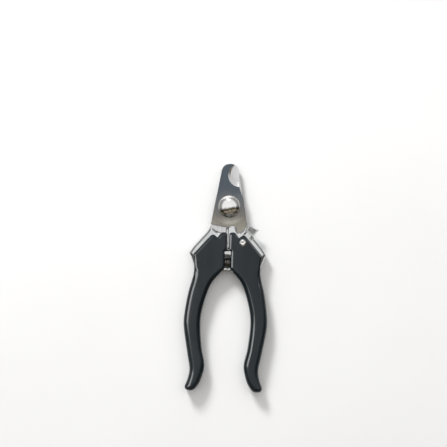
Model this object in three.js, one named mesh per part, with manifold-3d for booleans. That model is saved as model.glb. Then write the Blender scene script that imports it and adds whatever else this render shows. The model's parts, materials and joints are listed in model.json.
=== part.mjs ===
// Plier-type pet nail clipper, closed, lying on its back.
// Two blades with a round claw notch cross at a pivot bolt with a domed nut. Each blade is riveted into a
// die-cast bolster, whose tang runs down the handle between a front and a rear grip shell. A coil spring
// opens the handles, and a thumb lever on the right handle hooks the left handle to keep them closed.
//
// Millimetres. The pivot is at X = Y = 0 while the pieces are made: +Y points to the blade tips, +Z to the
// front, and X = 0 is the line between the handles. Every handle piece is made for the right half. The left
// half is the same half turned over about the Y axis, apart from the lock.

import * as THREE from 'three';
import { mergeVertices } from 'three/addons/utils/BufferGeometryUtils.js';
import Module from 'manifold-3d';

const wasm = await Module();
wasm.setup();

// Overall size
const tipY = 23.8;
const tailY = -103.3;
const thickness = 10;
const middle = thickness / 2;
const clearance = 0.3;
const overlap = 0.001;
const wellOutside = 30;

// Blades
const bladeThickness = 2;
const bladeBottom = middle + 0.1;
const bladeTop = bladeBottom + bladeThickness;
const notchCentre = [5, 18.6];
const notchRadius = 4.75;
const notchFrom = THREE.MathUtils.degToRad(172);
const notchTo = THREE.MathUtils.degToRad(272);
const grindRadius = 6.55;
const grindDepth = 1.6;
const grindShift = [0.35, -1];

// Pivot
const boltRadius = 2.4;
const boltHeadRadius = 5.2;
const boltHeadThickness = 1.1;
const boltHeadChamfer = [0.8, 0.5];
const boltSlotHalfWidth = 0.6;
const boltSlotDepth = 0.6;
const nutRadius = 5.95;
const nutRimHeight = 0.7;
const nutHeight = 3.4;
const nutRoof = 1;
const nutFootChamfer = 0.3;
const washerRadius = 6.3;
const washerThickness = 0.5;
const stackPlay = 0.1;

// Bolster
const bolsterBottom = 1.6;
const bolsterTop = thickness - bolsterBottom;
const lapRadius = 15.3;
const bolsterHalfGap = 0.15;
const tangHalfWidth = 2.5;
const tangHalfThickness = 1.1;
const tangRivetAt = [3.5, -16.7];
const tangRivetRadius = 0.9;
const tangRivetLength = 6.2;

// Grip shells
const gripBevel = 1.2;
const gripTopY = -14.4;
const gripHalfGap = 0.5;
const wideHalfGap = 1.7;
const wideGapTop = -24.2;
const screwPlaces = { upper: [16.9, -52.5], lower: [17.1, -79] };
const screwRadius = 1;
const screwHeadRadius = 2.1;
const screwHeadThickness = 1.2;
const screwHeadChamfer = 0.3;
const screwPoint = 0.8;
const screwSlotHalfWidth = 0.3;
const screwSlotDepth = 0.5;
const screwSink = 0.4;
const screwLength = 7;

// Return spring
const springY = -31.4;
const springRadius = 2.15;
const springWire = 0.45;
const springTurns = 6.5;
const springHalfLength = 4.7;
const seatRadius = 2.55;
const seatThickness = 0.7;
const seatBossRadius = 1.3;
const seatBossLength = 2;
const socketRadius = 2.9;

// Lock
const lockPivot = [8.2, -20.05];
const lockTravel = THREE.MathUtils.degToRad(10);
const lockRivetRadius = 1.1;
const lockRivetHeadRadius = 1.9;
const lockRivetRim = 0.25;
const lockRivetDome = 0.9;
const lockRivetSink = 0.5;
const leverPlay = 0.15;
const hookSlotLow = [-6.3, -27.9];
const hookSlotHigh = [0, -20.3];
const waveWasherRadius = 2.4;
const waveWasherHeight = 0.4;
const lockHubRadius = 2.5;
const leverBottom = bladeTop - 0.1;
const leverTop = leverBottom + 1;
const hookY = -25.9;
const hookTipX = -4.4;
const hookHalfWidth = 0.95;
const barbRadius = 0.7;
const barbHeight = 2.05;
const catchPinAt = [-2.9, -21.95];
const catchPinRadius = 0.7;
const catchPinBottom = 5.2;
const catchPinLength = 3.1;
const tabStart = [10.4, -12.5];
const tabEnd = [14.1, -15.9];
const tabReach = 3.6;
const tabHalfThickness = 1;
const tabGrooves = 3;
const tabGrooveSize = [9, 0.5, 0.8];
const leverArmHalfWidth = 1.3;
const tabFootHalfWidth = 1.7;
const elbow = [1.5, hookY];

const steel = { color: 0x8f9499, roughness: 0.3, metalness: 1 };
const chrome = { color: 0xd9dcdf, roughness: 0.15, metalness: 1 };
const castSilver = { color: 0xb9bcc0, roughness: 0.35, metalness: 1 };
const blackPlastic = { color: 0x14171a, roughness: 0.3, metalness: 0 };
const springSteel = { color: 0x7c8084, roughness: 0.35, metalness: 1 };

// A closed three.js geometry as a solid that can be joined and cut.
function solidFrom(geometry) {
  const bare = geometry.clone();
  bare.deleteAttribute('normal');
  bare.deleteAttribute('uv');
  const merged = mergeVertices(bare, 1e-5);
  const vertProperties = new Float32Array(merged.attributes.position.array);
  const triVerts = new Uint32Array(merged.index.array);
  return new wasm.Manifold(new wasm.Mesh({ numProp: 3, vertProperties, triVerts }));
}

function geometryFrom(solid) {
  const mesh = solid.getMesh();
  const geometry = new THREE.BufferGeometry();
  geometry.setAttribute('position', new THREE.BufferAttribute(mesh.vertProperties, 3));
  geometry.setIndex(new THREE.BufferAttribute(mesh.triVerts, 1));
  geometry.computeVertexNormals();
  return geometry;
}

function joined(first, ...others) {
  return others.reduce((sum, solid) => sum.add(solid), first);
}

function cut(base, ...cutters) {
  return cutters.reduce((rest, solid) => rest.subtract(solid), base);
}

// A flat plate between two heights, its outline grown by `grow` all round.
function plateGeometry(shape, bottom, top, grow = 0, curveSegments = 3) {
  const options = {
    depth: top - bottom,
    curveSegments,
    bevelEnabled: grow !== 0,
    bevelSegments: 0,
    bevelSize: 0,
    bevelThickness: 0,
    bevelOffset: grow,
  };
  return new THREE.ExtrudeGeometry(shape, options).translate(0, 0, bottom);
}

function plate(shape, bottom, top, grow = 0, curveSegments = 3) {
  return solidFrom(plateGeometry(shape, bottom, top, grow, curveSegments));
}

function vectors(points) {
  return points.map(([x, y]) => new THREE.Vector2(x, y));
}

function polygon(points) {
  return new THREE.Shape(vectors(points));
}

function disc([x, y], radius, bottom, top, sides = 24) {
  const geometry = new THREE.CylinderGeometry(radius, radius, top - bottom, sides);
  return solidFrom(geometry.rotateX(Math.PI / 2).translate(x, y, (bottom + top) / 2));
}

// A bar with round ends from one point to another, lying flat.
function bar(from, to, halfWidth, bottom, top) {
  const length = Math.hypot(to[0] - from[0], to[1] - from[1]);
  const shape = new THREE.Shape();
  shape.absarc(0, 0, halfWidth, Math.PI / 2, 1.5 * Math.PI, false);
  shape.absarc(length, 0, halfWidth, -Math.PI / 2, Math.PI / 2, false);
  const geometry = plateGeometry(shape, bottom, top, 0, 4);
  geometry.rotateZ(Math.atan2(to[1] - from[1], to[0] - from[0]));
  return solidFrom(geometry.translate(from[0], from[1], 0));
}

// Every box is given by its lowest and highest corners.
function block([x0, y0, z0], [x1, y1, z1]) {
  const geometry = new THREE.BoxGeometry(x1 - x0, y1 - y0, z1 - z0);
  return solidFrom(geometry.translate((x0 + x1) / 2, (y0 + y1) / 2, (z0 + z1) / 2));
}

// A closed ring or knob turned about Z, from [radius, height] points.
function turned(profile, sides = 32) {
  return new THREE.LatheGeometry(vectors(profile), sides).rotateX(Math.PI / 2);
}

function addPart(parent, name, solid, finish, position = [0, 0, 0]) {
  const geometry = solid.isBufferGeometry ? solid : geometryFrom(solid);
  const mesh = new THREE.Mesh(geometry, new THREE.MeshStandardMaterial(finish));
  mesh.name = name;
  mesh.position.set(...position);
  parent.add(mesh);
  return mesh;
}

// ---------------------------------------------------------------- blades

function bladeShape() {
  const shape = new THREE.Shape();
  shape.moveTo(-8.9, -10.4);
  shape.quadraticCurveTo(-9.9, -10.3, -9.64, -9.4);
  shape.lineTo(-4.9, 19.5);
  shape.bezierCurveTo(-4.4, 22.6, -2.4, tipY, 0, tipY);
  shape.quadraticCurveTo(1.4, tipY, 2.2, 23.3);
  shape.quadraticCurveTo(0.7, 21.8, 0.3, 19.26);
  shape.absarc(...notchCentre, notchRadius, notchFrom, notchTo, false);
  shape.lineTo(5.3, 10.5);
  shape.splineThru(vectors([[6.6, 7.2], [7.8, 3.9], [8.9, -2.8], [10, -9.5]]));
  shape.lineTo(9.6, -12);
  shape.lineTo(7.6, -15.4);
  shape.lineTo(5.4, -18.5);
  shape.lineTo(1.6, -18.5);
  shape.lineTo(1.4, -12);
  shape.closePath();
  return shape;
}

// The hollow ground face runs from the front down to the notch's cutting edge, and widens towards the handle.
function notchGrind() {
  const cone = new THREE.CylinderGeometry(grindRadius, notchRadius, grindDepth, 40);
  cone.rotateX(Math.PI / 2).translate(0, 0, grindDepth / 2);
  const lean = new THREE.Matrix4();
  lean.makeShear(0, 0, 0, 0, grindShift[0] / grindDepth, grindShift[1] / grindDepth);
  cone.applyMatrix4(lean).translate(...notchCentre, bladeTop - grindDepth);
  const topSkin = plateGeometry(circle(grindRadius), 0, clearance, 0, 20);
  topSkin.translate(notchCentre[0] + grindShift[0], notchCentre[1] + grindShift[1], bladeTop - overlap);
  return joined(solidFrom(cone), solidFrom(topSkin));
}

function circle(radius) {
  return new THREE.Shape().absarc(0, 0, radius, 0, 2 * Math.PI, false);
}

function blade() {
  return cut(
    plate(bladeShape(), bladeBottom, bladeTop, 0, 5),
    notchGrind(),
    disc([0, 0], boltRadius + clearance, 0, thickness),
    disc(tangRivetAt, tangRivetRadius + clearance, 0, thickness, 16),
  );
}

// ---------------------------------------------------------------- handles

// The crown's two teeth, the straight shoulder, its pointed tip and the neck under the grip. The two
// bolsters nearly meet along the gap, and stand back from it round the hook and the spring.
function bolsterShape() {
  return polygon([
    [bolsterHalfGap, -12], [2.6, -10.3], [4.1, -10.2], [5.6, -14.4], [10, -10.9], [11.7, -14.1],
    [19.2, -22.75], [21.6, -26.5], [20.5, -28.5], [18.5, -34.2], [16.8, -37.2], [11, -38.2],
    [5, -37.2], [2, -35.9], [bolsterHalfGap, -35.5], [bolsterHalfGap, -34.7], [wideHalfGap, -34.3],
    [wideHalfGap, wideGapTop - 0.6], [bolsterHalfGap, wideGapTop],
  ]);
}

// The tang follows the middle of the handle.
function tangShape(halfWidth) {
  const line = new THREE.SplineCurve(vectors([
    [11, -33], [14.4, -43], [17.4, -55], [18.5, -66], [17.1, -79], [15.3, -89],
  ]));
  const steps = 14;
  const left = [];
  const right = [];
  for (let step = 0; step <= steps; step += 1) {
    const point = line.getPoint(step / steps);
    const along = line.getTangent(step / steps);
    left.push([point.x - along.y * halfWidth, point.y + along.x * halfWidth]);
    right.unshift([point.x + along.y * halfWidth, point.y - along.x * halfWidth]);
  }
  return polygon([...left, ...right]);
}

// Below the middle plane the bolster keeps clear of the other half's blade, which sweeps round the pivot.
function bolsterBody(grow) {
  return joined(
    cut(
      plate(bolsterShape(), bolsterBottom - grow, bolsterTop + grow, grow),
      disc([0, 0], lapRadius - grow, 0, bladeBottom - grow, 48),
    ),
    plate(
      tangShape(tangHalfWidth + grow),
      middle - tangHalfThickness - grow,
      middle + tangHalfThickness + grow,
    ),
  );
}

// A round socket in the inner face takes the spring's end and its seat.
function springSocket() {
  const depth = springHalfLength + seatThickness + 2 * clearance;
  const geometry = new THREE.CylinderGeometry(socketRadius, socketRadius, depth, 20);
  return solidFrom(geometry.rotateZ(Math.PI / 2).translate(depth / 2, springY, middle));
}

// Two stepped bores for the grip screws. They start at the back of the clipper, which is the front of the
// half that is turned over.
function screwBores(isTurnedOver) {
  const levels = (bottom, top) => (isTurnedOver ? [thickness - top, thickness - bottom] : [bottom, top]);
  const shank = levels(-1, screwSink + screwLength + clearance);
  const head = levels(-1, screwSink + screwHeadThickness + clearance);
  const bores = Object.values(screwPlaces).flatMap((place) => [
    disc(place, screwRadius + clearance, ...shank, 16),
    disc(place, screwHeadRadius + clearance, ...head, 16),
  ]);
  return joined(...bores);
}

function bolster() {
  return cut(
    bolsterBody(0),
    plate(bladeShape(), bladeBottom - clearance, bladeTop + clearance, clearance),
    disc(tangRivetAt, tangRivetRadius + clearance, 0, thickness, 16),
    springSocket(),
  );
}

function gripShape() {
  const shape = new THREE.Shape();
  const inner = [
    [3.6, -36.9], [8.9, -44], [12.8, -56], [14, -66], [12.9, -79], [11, -89], [12.8, -97.3],
    [15, -101.2],
  ];
  const outer = [
    [20, -96.5], [19.2, -91], [20.6, -83], [23, -69], [23.1, -61], [21.3, -49], [18.7, -38.7],
    [18.4, -34.5],
  ];
  shape.moveTo(gripHalfGap, gripTopY - 1.6);
  shape.lineTo(gripHalfGap, wideGapTop);
  shape.lineTo(wideHalfGap, wideGapTop - 0.9);
  shape.lineTo(wideHalfGap, -34.6);
  shape.splineThru(vectors(inner));
  shape.bezierCurveTo(15.9, -102.4, 16.9, tailY, 18.4, tailY);
  shape.bezierCurveTo(20.3, tailY, 21.9, -102.7, 21.5, -100.6);
  shape.splineThru(vectors(outer));
  shape.quadraticCurveTo(18.5, -30.5, 19, -28.6);
  shape.quadraticCurveTo(19.6, -27.4, 18.2, -26);
  shape.lineTo(10.2, -16.9);
  shape.quadraticCurveTo(8.7, -15.2, 7.3, -16.4);
  shape.lineTo(6, -17.4);
  shape.lineTo(4.6, -15.5);
  shape.quadraticCurveTo(3.8, gripTopY, 2.5, gripTopY);
  shape.quadraticCurveTo(gripHalfGap, gripTopY, gripHalfGap, gripTopY - 1.6);
  return shape;
}

// The whole grip with rounded edges, before it is split at the middle plane.
function wholeGrip() {
  const geometry = new THREE.ExtrudeGeometry(gripShape(), {
    depth: thickness - 2 * gripBevel,
    curveSegments: 3,
    bevelThickness: gripBevel,
    bevelSize: gripBevel,
    bevelOffset: -gripBevel,
    bevelSegments: 2,
  });
  return solidFrom(geometry.translate(0, 0, gripBevel));
}

// The two shells part at the middle plane. The upper one covers the side that shows the blade's tail.
function upperGrip() {
  return cut(
    wholeGrip(),
    block([-wellOutside, tailY - 1, -1], [wellOutside, 0, middle + clearance / 2]),
    bolsterBody(clearance),
  );
}

function lowerGrip() {
  return cut(
    wholeGrip(),
    block([-wellOutside, tailY - 1, middle - clearance / 2], [wellOutside, 0, thickness + 1]),
    bolsterBody(clearance),
  );
}

// A slotted screw standing on its head, with its top at the end of the shank.
function gripScrew() {
  const profile = [
    [0, 0], [screwHeadRadius - screwHeadChamfer, 0], [screwHeadRadius, screwHeadChamfer],
    [screwHeadRadius, screwHeadThickness], [screwRadius, screwHeadThickness],
    [screwRadius, screwLength - screwPoint], [0, screwLength],
  ];
  const slotEnd = screwHeadRadius + 1;
  const slot = block([-slotEnd, -screwSlotHalfWidth, -1], [slotEnd, screwSlotHalfWidth, screwSlotDepth]);
  return cut(solidFrom(turned(profile, 16)), slot);
}

function tangRivet() {
  return turned([[0, 0], [tangRivetRadius, 0], [tangRivetRadius, tangRivetLength], [0, tangRivetLength]], 12);
}

function springSeat() {
  const profile = [
    [0, 0], [seatRadius, 0], [seatRadius, seatThickness], [seatBossRadius, seatThickness],
    [seatBossRadius, seatThickness + seatBossLength], [0, seatThickness + seatBossLength],
  ];
  return turned(profile, 16).rotateY(-Math.PI / 2);
}

// ---------------------------------------------------------------- pivot

function pivotBolt() {
  const top = bladeTop + 2 * stackPlay + washerThickness + nutHeight - nutRoof - clearance;
  const headTop = thickness - bladeTop - washerThickness - 2 * stackPlay;
  const headBottom = headTop - boltHeadThickness;
  const profile = [
    [0, headBottom], [boltHeadRadius - boltHeadChamfer[0], headBottom],
    [boltHeadRadius, headBottom + boltHeadChamfer[1]],
    [boltHeadRadius, headTop], [boltRadius, headTop], [boltRadius, top], [0, top],
  ];
  const slot = block(
    [-washerRadius, -boltSlotHalfWidth, headBottom - 1],
    [washerRadius, boltSlotHalfWidth, headBottom + boltSlotDepth],
  );
  return cut(solidFrom(turned(profile)), slot);
}

function domeNut() {
  const dome = [];
  const steps = 7;
  for (let step = 0; step < steps; step += 1) {
    const angle = (step / steps) * (Math.PI / 2);
    dome.push([nutRadius * Math.cos(angle), nutRimHeight + (nutHeight - nutRimHeight) * Math.sin(angle)]);
  }
  const bore = boltRadius + clearance;
  const roof = nutHeight - nutRoof;
  const foot = [nutRadius - nutFootChamfer, 0];
  return turned([[0, roof], [bore, roof], [bore, 0], foot, ...dome, [0, nutHeight]]);
}

function washer(outer, inner, height, sides = 32) {
  return turned([[inner, 0], [outer, 0], [outer, height], [inner, height], [inner, 0]], sides);
}

function returnSpring() {
  class Helix extends THREE.Curve {
    getPoint(t) {
      const angle = t * springTurns * 2 * Math.PI;
      const x = (2 * t - 1) * (springHalfLength - springWire);
      return new THREE.Vector3(x, springRadius * Math.cos(angle), springRadius * Math.sin(angle));
    }
  }
  const section = new THREE.Shape().absarc(0, 0, springWire, 0, 2 * Math.PI, false);
  return new THREE.ExtrudeGeometry(section, {
    steps: Math.round(springTurns * 10),
    curveSegments: 3,
    bevelEnabled: false,
    extrudePath: new Helix(),
  });
}

// ---------------------------------------------------------------- lock

// The thumb tab's outline in its own axes: along the shoulder, and out from it. The far edge is hollow.
function tabShape(grow) {
  const length = Math.hypot(tabEnd[0] - tabStart[0], tabEnd[1] - tabStart[1]);
  const shape = new THREE.Shape();
  shape.moveTo(0.2 - grow, -0.9 - grow);
  shape.lineTo(-0.9 - grow, tabReach - 0.6 + grow);
  shape.quadraticCurveTo(length / 2, tabReach - 0.9 + grow, length - 0.2 + grow, tabReach + 0.9 + grow);
  shape.lineTo(length - 0.2 + grow, -0.9 - grow);
  shape.closePath();
  return shape;
}

function tab(grow) {
  const centre = (leverBottom + leverTop) / 2;
  const shape = tabShape(grow);
  const geometry = plateGeometry(shape, centre - tabHalfThickness - grow, centre + tabHalfThickness + grow);
  geometry.rotateZ(Math.atan2(tabEnd[1] - tabStart[1], tabEnd[0] - tabStart[0]));
  return solidFrom(geometry.translate(...tabStart, 0));
}

// The lever swings between the bolster and the front grip. Its hook points to the blades at the far end.
function leverBody(grow) {
  const bottom = leverBottom - grow;
  const top = leverTop + grow;
  const tabFoot = [(tabStart[0] + tabEnd[0]) / 2, (tabStart[1] + tabEnd[1]) / 2];
  const barbTop = [hookTipX, hookY + barbHeight];
  return joined(
    disc(lockPivot, lockHubRadius + grow, bottom, top),
    bar(lockPivot, tabFoot, tabFootHalfWidth + grow, bottom, top),
    bar(lockPivot, elbow, leverArmHalfWidth + grow, bottom, top),
    bar(elbow, [hookTipX, hookY], hookHalfWidth + grow, bottom, top),
    bar([hookTipX, hookY], barbTop, barbRadius + grow, bottom, top),
    tab(grow),
  );
}

function lockLever() {
  const ribs = [];
  const heading = Math.atan2(tabEnd[1] - tabStart[1], tabEnd[0] - tabStart[0]);
  const grooveTop = (leverBottom + leverTop) / 2 + tabHalfThickness;
  for (let rib = 0; rib < tabGrooves; rib += 1) {
    const groove = new THREE.BoxGeometry(...tabGrooveSize);
    groove.translate(0, 0.5 + rib, grooveTop).rotateZ(heading).translate(...tabStart, 0);
    ribs.push(solidFrom(groove));
  }
  return cut(leverBody(0), disc(lockPivot, lockRivetRadius + clearance, 0, thickness), ...ribs);
}

// The room that the lever needs through its whole travel, clockwise from where it lies unlocked.
function leverRoom() {
  const positions = 3;
  const room = [];
  for (let position = 0; position < positions; position += 1) {
    const angle = (-lockTravel * position) / (positions - 1);
    const geometry = geometryFrom(leverBody(clearance + leverPlay));
    geometry.translate(-lockPivot[0], -lockPivot[1], 0).rotateZ(angle).translate(...lockPivot, 0);
    room.push(solidFrom(geometry));
  }
  return joined(...room);
}

// The slot in the left half that the hook swings in, open to the gap and to the front.
function hookSlot() {
  const low = [...hookSlotLow, leverBottom - clearance];
  const high = [...hookSlotHigh, bolsterTop + clearance];
  const geometry = geometryFrom(block(low, high));
  return solidFrom(turnedOver(geometry));
}

// The assembly's coordinates as the turned-over left half sees them.
function turnedOver(geometry) {
  return geometry.rotateY(Math.PI).translate(0, 0, thickness);
}

function catchPin() {
  return turned([[0, 0], [catchPinRadius, 0], [catchPinRadius, catchPinLength], [0, catchPinLength]], 14);
}

function waveWasher() {
  return washer(waveWasherRadius, lockRivetRadius + clearance, waveWasherHeight, 20);
}

function lockRivet() {
  const dome = [];
  const steps = 4;
  for (let step = 0; step < steps; step += 1) {
    const angle = (step / steps) * (Math.PI / 2);
    const height = lockRivetRim + (lockRivetDome - lockRivetRim) * Math.sin(angle);
    dome.push([lockRivetHeadRadius * Math.cos(angle), thickness + stackPlay + height]);
  }
  const shankBottom = bolsterBottom - stackPlay;
  const shankTop = thickness + stackPlay;
  return turned([
    [0, lockRivetSink], [lockRivetHeadRadius, lockRivetSink], [lockRivetHeadRadius, shankBottom],
    [lockRivetRadius, shankBottom], [lockRivetRadius, shankTop], [lockRivetHeadRadius, shankTop],
    ...dome, [0, shankTop + lockRivetDome],
  ], 20);
}

// ---------------------------------------------------------------- assembly

const clipper = new THREE.Group();
const leftHalf = new THREE.Group();
leftHalf.rotation.y = Math.PI;
leftHalf.position.z = thickness;
clipper.add(leftHalf);

const rivetBore = disc(lockPivot, lockRivetRadius + clearance, -1, thickness + 1, 16);
const rivetSink = disc(lockPivot, lockRivetHeadRadius + clearance, -1, bolsterBottom, 20);
const pinBore = solidFrom(turnedOver(geometryFrom(
  disc(catchPinAt, catchPinRadius + clearance / 2, catchPinBottom - stackPlay, thickness - bolsterBottom, 14),
)));
const seatX = springHalfLength + seatThickness + clearance;
const nutBottom = bladeTop + 2 * stackPlay + washerThickness + stackPlay;
const tangRivetBottom = middle - tangRivetLength / 2;

addPart(clipper, 'front_blade', blade(), steel);
addPart(clipper, 'right_bolster', cut(bolster(), screwBores(false), leverRoom(), rivetBore), castSilver);
addPart(clipper, 'right_front_grip', cut(upperGrip(), screwBores(false), rivetBore), blackPlastic);
addPart(clipper, 'right_rear_grip', cut(lowerGrip(), screwBores(false), rivetBore, rivetSink), blackPlastic);
addPart(clipper, 'right_tang_rivet', tangRivet(), springSteel, [...tangRivetAt, tangRivetBottom]);
addPart(clipper, 'right_spring_seat', springSeat(), chrome, [seatX, springY, middle]);

addPart(leftHalf, 'back_blade', blade(), steel);
addPart(leftHalf, 'left_bolster', cut(bolster(), screwBores(true), hookSlot(), pinBore), castSilver);
addPart(leftHalf, 'left_rear_grip', cut(upperGrip(), screwBores(true)), blackPlastic);
addPart(leftHalf, 'left_front_grip', cut(lowerGrip(), screwBores(true)), blackPlastic);
addPart(leftHalf, 'left_tang_rivet', tangRivet(), springSteel, [...tangRivetAt, tangRivetBottom]);
addPart(leftHalf, 'left_spring_seat', springSeat(), chrome, [seatX, springY, middle]);

for (const [place, [x, y]] of Object.entries(screwPlaces)) {
  addPart(clipper, `right_${place}_grip_screw`, gripScrew(), chrome, [x, y, screwSink]);
  addPart(clipper, `left_${place}_grip_screw`, gripScrew(), chrome, [-x, y, screwSink]);
}

addPart(clipper, 'pivot_bolt', pivotBolt(), chrome);
addPart(clipper, 'rear_washer', washer(washerRadius, boltRadius + clearance, washerThickness), chrome,
  [0, 0, thickness - bladeTop - stackPlay - washerThickness]);
addPart(clipper, 'front_washer', washer(washerRadius, boltRadius + clearance, washerThickness), chrome,
  [0, 0, bladeTop + stackPlay]);
addPart(clipper, 'dome_nut', domeNut(), chrome, [0, 0, nutBottom]);
addPart(clipper, 'return_spring', returnSpring(), springSteel, [0, springY, middle]);

addPart(clipper, 'lock_lever', lockLever(), chrome);
addPart(clipper, 'lock_rivet', lockRivet(), chrome, [...lockPivot, 0]);
addPart(clipper, 'lock_wave_washer', waveWasher(), springSteel, [...lockPivot, leverTop + stackPlay]);
addPart(clipper, 'lock_catch_pin', catchPin(), chrome, [...catchPinAt, catchPinBottom]);

// The origin is at the middle of the base.
clipper.position.y = -(tipY + tailY) / 2;

export default clipper;
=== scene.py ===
"""Looks of the plier-type pet nail clipper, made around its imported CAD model.

Sizes are in millimetres about the handle pivot, +Y to the blade tips and +Z to the front, and place() takes
them to the frame's metres. A piece of the left half is the right half's piece turned over about the Y axis.
"""
import json
import math

import bmesh
import bpy
import numpy as np
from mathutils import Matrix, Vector
from mathutils.geometry import delaunay_2d_cdt


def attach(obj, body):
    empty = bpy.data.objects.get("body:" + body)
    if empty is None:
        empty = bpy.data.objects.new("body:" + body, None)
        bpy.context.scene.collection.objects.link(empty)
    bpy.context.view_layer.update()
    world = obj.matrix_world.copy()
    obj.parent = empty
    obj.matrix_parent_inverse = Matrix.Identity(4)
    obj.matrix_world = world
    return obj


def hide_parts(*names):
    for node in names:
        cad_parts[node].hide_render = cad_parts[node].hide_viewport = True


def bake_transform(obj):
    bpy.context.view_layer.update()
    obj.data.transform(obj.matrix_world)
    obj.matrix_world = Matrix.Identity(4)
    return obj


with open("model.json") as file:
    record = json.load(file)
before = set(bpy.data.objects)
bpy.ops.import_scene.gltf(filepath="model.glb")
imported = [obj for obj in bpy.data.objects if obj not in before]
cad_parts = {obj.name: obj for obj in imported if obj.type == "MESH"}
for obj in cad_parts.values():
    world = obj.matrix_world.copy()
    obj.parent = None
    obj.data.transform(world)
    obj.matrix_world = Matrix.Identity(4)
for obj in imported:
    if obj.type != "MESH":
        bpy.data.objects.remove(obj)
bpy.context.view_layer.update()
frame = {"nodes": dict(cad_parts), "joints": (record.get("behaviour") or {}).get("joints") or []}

MM = 0.001
JOINTS = {joint["name"]: joint for joint in frame["joints"]}
PIVOT_Y = JOINTS["handle_pivot"]["pos_m"][1] / MM
LOCK_PIVOT = (JOINTS["lock_swing"]["pos_m"][0] / MM, JOINTS["lock_swing"]["pos_m"][1] / MM - PIVOT_Y)

# Overall
TIP_Y = 23.8
TAIL_Y = -103.3
THICKNESS = 10.0
MIDDLE = THICKNESS / 2
GAP = 0.3
SKIN = 0.02
STEP = 0.32

# Blades
BLADE_BOTTOM = 5.1
BLADE_TOP = 7.1
BLADE_TAPER = 0.3
BLADE_HOLE_RADIUS = 2.7
NOTCH_CENTRE = (5.0, 18.6)
NOTCH_RADIUS = 4.75
GRIND_DEPTH = 1.5
GRIND_WIDTH = 1.8
GRIND_SHIFT = (0.35, -1.0)
GRIND_SLOPE = 0.55
GRIND_FROM_Y = 9

# Pivot
BOLT_RADIUS = 2.4
BOLT_HEAD_RADIUS = 5.2
BOLT_HEAD_BOTTOM = 1.1
BOLT_HEAD_TOP = 2.2
BOLT_TOP = 9.9
NUT_BOTTOM = 7.9
WASHER_FACES = {"front_washer": (BLADE_TOP + 0.1, 1), "rear_washer": (THICKNESS - BLADE_TOP - 0.1, -1)}

# Bolsters and grips
BOLSTER_BOTTOM = 1.6
BOLSTER_TOP = THICKNESS - BOLSTER_BOTTOM
LAP_RADIUS = 15.0
TANG_RIVET_AT = (3.5, -16.7)
TANG_RIVET_BOTTOM = 1.9
TANG_RIVET_HOLE_RADIUS = 1.2
GRIP_HALF_GAP = 0.5
WIDE_HALF_GAP = 1.7
WIDE_GAP_TOP = -24.2
GRIP_TOP_Y = -14.4
SCREW_PLACES = {"upper": (16.9, -52.5), "lower": (17.1, -79.0)}
SCREW_BOTTOM = 0.4
SCREW_BORE = (1.3, 7.7)
SCREW_HEAD_BORE = (2.4, 1.9)

# Spring
SPRING_Y = -31.4
SPRING_RADIUS = 2.15
SPRING_WIRE = 0.45
SPRING_TURNS = 6.5
SPRING_HALF_LENGTH = 4.7
SEAT_THICKNESS = 0.7

# Lock
HOOK_Y = -25.9
HOOK_TIP_X = -4.4
HOOK_BARB_TOP = -23.85
LEVER_ELBOW = (1.5, HOOK_Y)
LEVER_HUB_RADIUS = 2.5
CATCH_PIN_PLACE = (-2.9, -21.95, 5.2)
LOCK_RIVET_TOP = 10.1
LOCK_RIVET_HOLE_RADIUS = 1.4
TAB_START = Vector((10.4, -12.5))
TAB_END = Vector((14.1, -15.9))
TAB_REACH = 3.6
LEVER_BOTTOM = 7.0
LEVER_TOP = 8.0
TAB_BOTTOM = 6.5
TAB_TOP = 8.5
TAB_RIM = 0.14
RIDGE_PITCH = 1.05
RIDGE_DEPTH = 0.5


def place(co, turned=False):
    """Pivot millimetres to frame metres, for a right-half piece or one that is turned over."""
    x, y, z = co
    if turned:
        x, z = -x, THICKNESS - z
    return (x * MM, (y + PIVOT_Y) * MM, z * MM)


# ------------------------------------------------------------------ camera, floor and light

FRAME_WIDTH = 250.1
CAMERA_HEIGHT = 780.0
PICTURE_CENTRE = (-2.9, -9.6)
TILT = math.radians(1.9)


def add_camera():
    data = bpy.data.cameras.new("camera")
    data.sensor_width = 36
    data.lens = data.sensor_width * CAMERA_HEIGHT / FRAME_WIDTH
    data.clip_start = 0.01
    data.clip_end = 20
    camera = bpy.data.objects.new("camera", data)
    x, y = PICTURE_CENTRE
    camera.location = (x * MM, (y + PIVOT_Y) * MM, (MIDDLE + CAMERA_HEIGHT) * MM)
    camera.rotation_euler = (0, 0, TILT)
    bpy.context.collection.objects.link(camera)
    bpy.context.scene.camera = camera


add_camera()


def new_material(name):
    """A new node material as (material, its nodes, its links, its Principled shader)."""
    material = bpy.data.materials.new(name)
    material.use_nodes = True
    nodes = material.node_tree.nodes
    return material, nodes, material.node_tree.links, nodes["Principled BSDF"]


def noise_of(nodes, links, scale, detail=3.0, stretch=(1, 1, 1), turn=0.0):
    """Noise in the object's own coordinates, stretched along its axes. The scale is in waves per metre."""
    where = nodes.new("ShaderNodeTexCoord")
    mapping = nodes.new("ShaderNodeMapping")
    mapping.inputs["Scale"].default_value = stretch
    mapping.inputs["Rotation"].default_value = (0, 0, turn)
    noise = nodes.new("ShaderNodeTexNoise")
    noise.inputs["Scale"].default_value = scale
    noise.inputs["Detail"].default_value = detail
    links.new(where.outputs["Object"], mapping.inputs["Vector"])
    links.new(mapping.outputs["Vector"], noise.inputs["Vector"])
    return noise.outputs["Fac"]


def ramp_of(nodes, links, factor, stops):
    """A colour ramp over a factor. Each stop is (position, grey or colour)."""
    ramp = nodes.new("ShaderNodeValToRGB")
    elements = ramp.color_ramp.elements
    while len(elements) < len(stops):
        elements.new(0.5)
    for element, (position, value) in zip(elements, stops):
        colour = (value,) * 3 if isinstance(value, (int, float)) else value
        element.position = position
        element.color = (*colour, 1)
    links.new(factor, ramp.inputs["Fac"])
    return ramp.outputs["Color"]


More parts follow.
